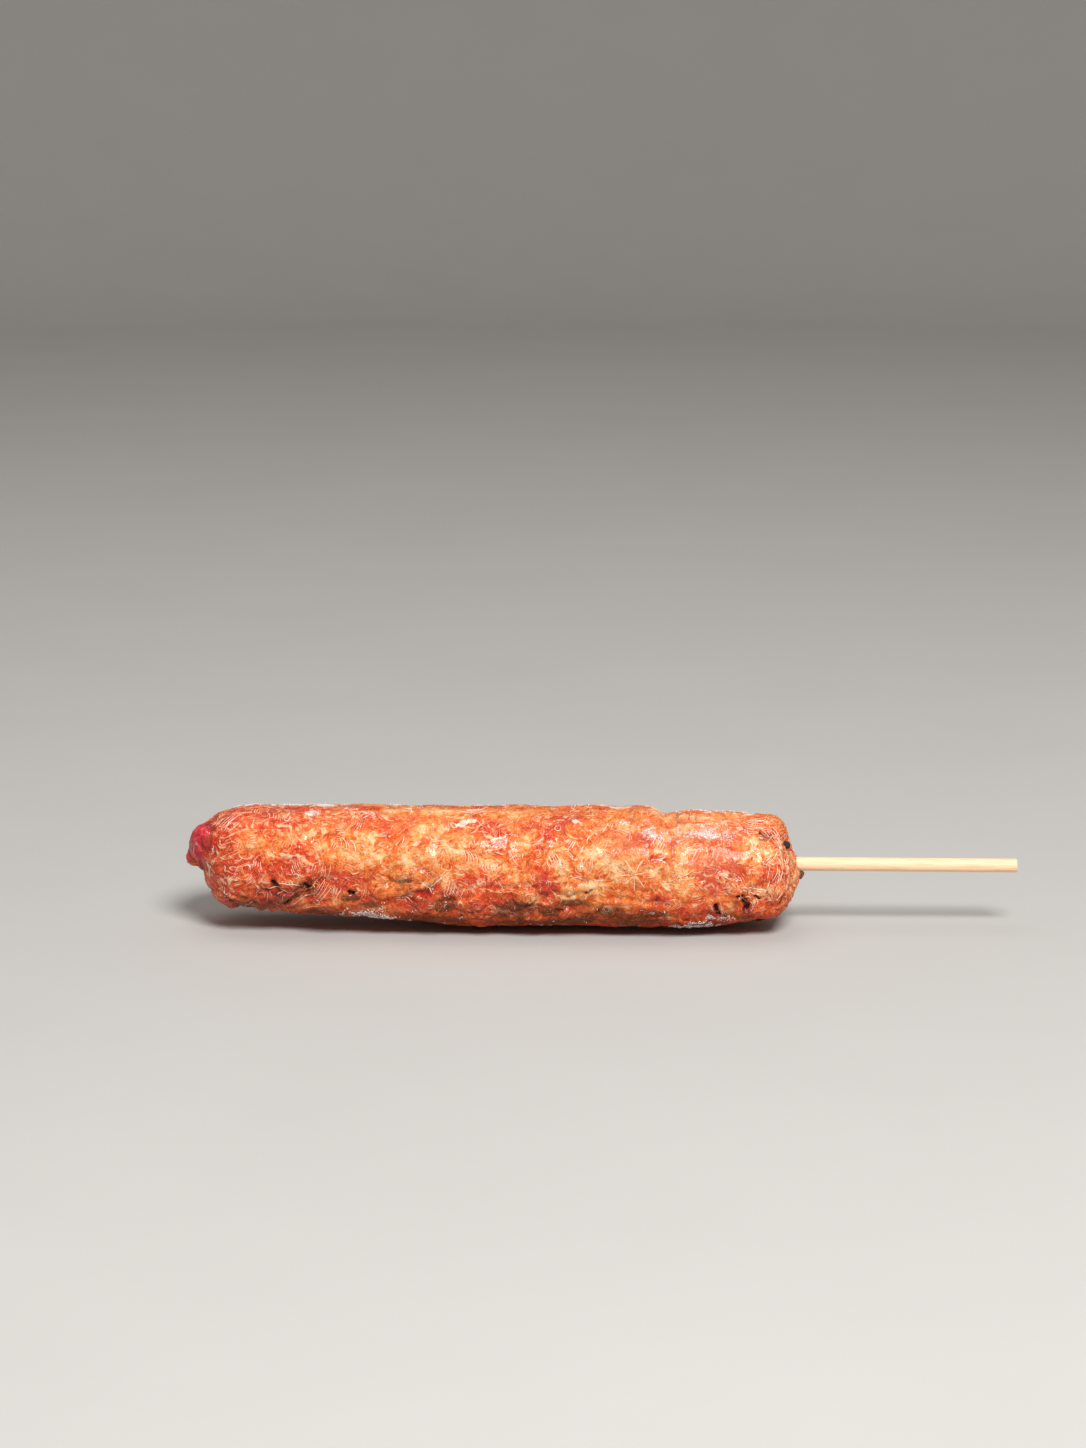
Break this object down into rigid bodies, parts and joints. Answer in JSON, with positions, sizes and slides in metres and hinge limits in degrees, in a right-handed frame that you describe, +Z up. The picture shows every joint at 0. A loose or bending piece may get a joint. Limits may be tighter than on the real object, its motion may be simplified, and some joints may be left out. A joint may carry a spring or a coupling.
{
  "type": "kofta skewer",
  "caption": "Raw frozen kofta: a long sausage-shaped roll of spiced minced meat pressed round a plain bamboo stick whose bare end is the grip.",
  "frame": {"origin": "centre of the footprint of the whole, on the surface that it lies on", "axes": "+X along the stick towards its bare end, +Z up, -Y towards the shown side"},
  "size_m": [0.2082, 0.0324, 0.0304],
  "materials": {
    "minced_meat": "moist semi-gloss, marbled orange-red raw mince with cream fat",
    "bamboo": "pale sanded bamboo with fine straight grain"
  },
  "bodies": {
    "root": {"kofta": "minced_meat", "stick": "bamboo"}
  },
  "joints": []
}
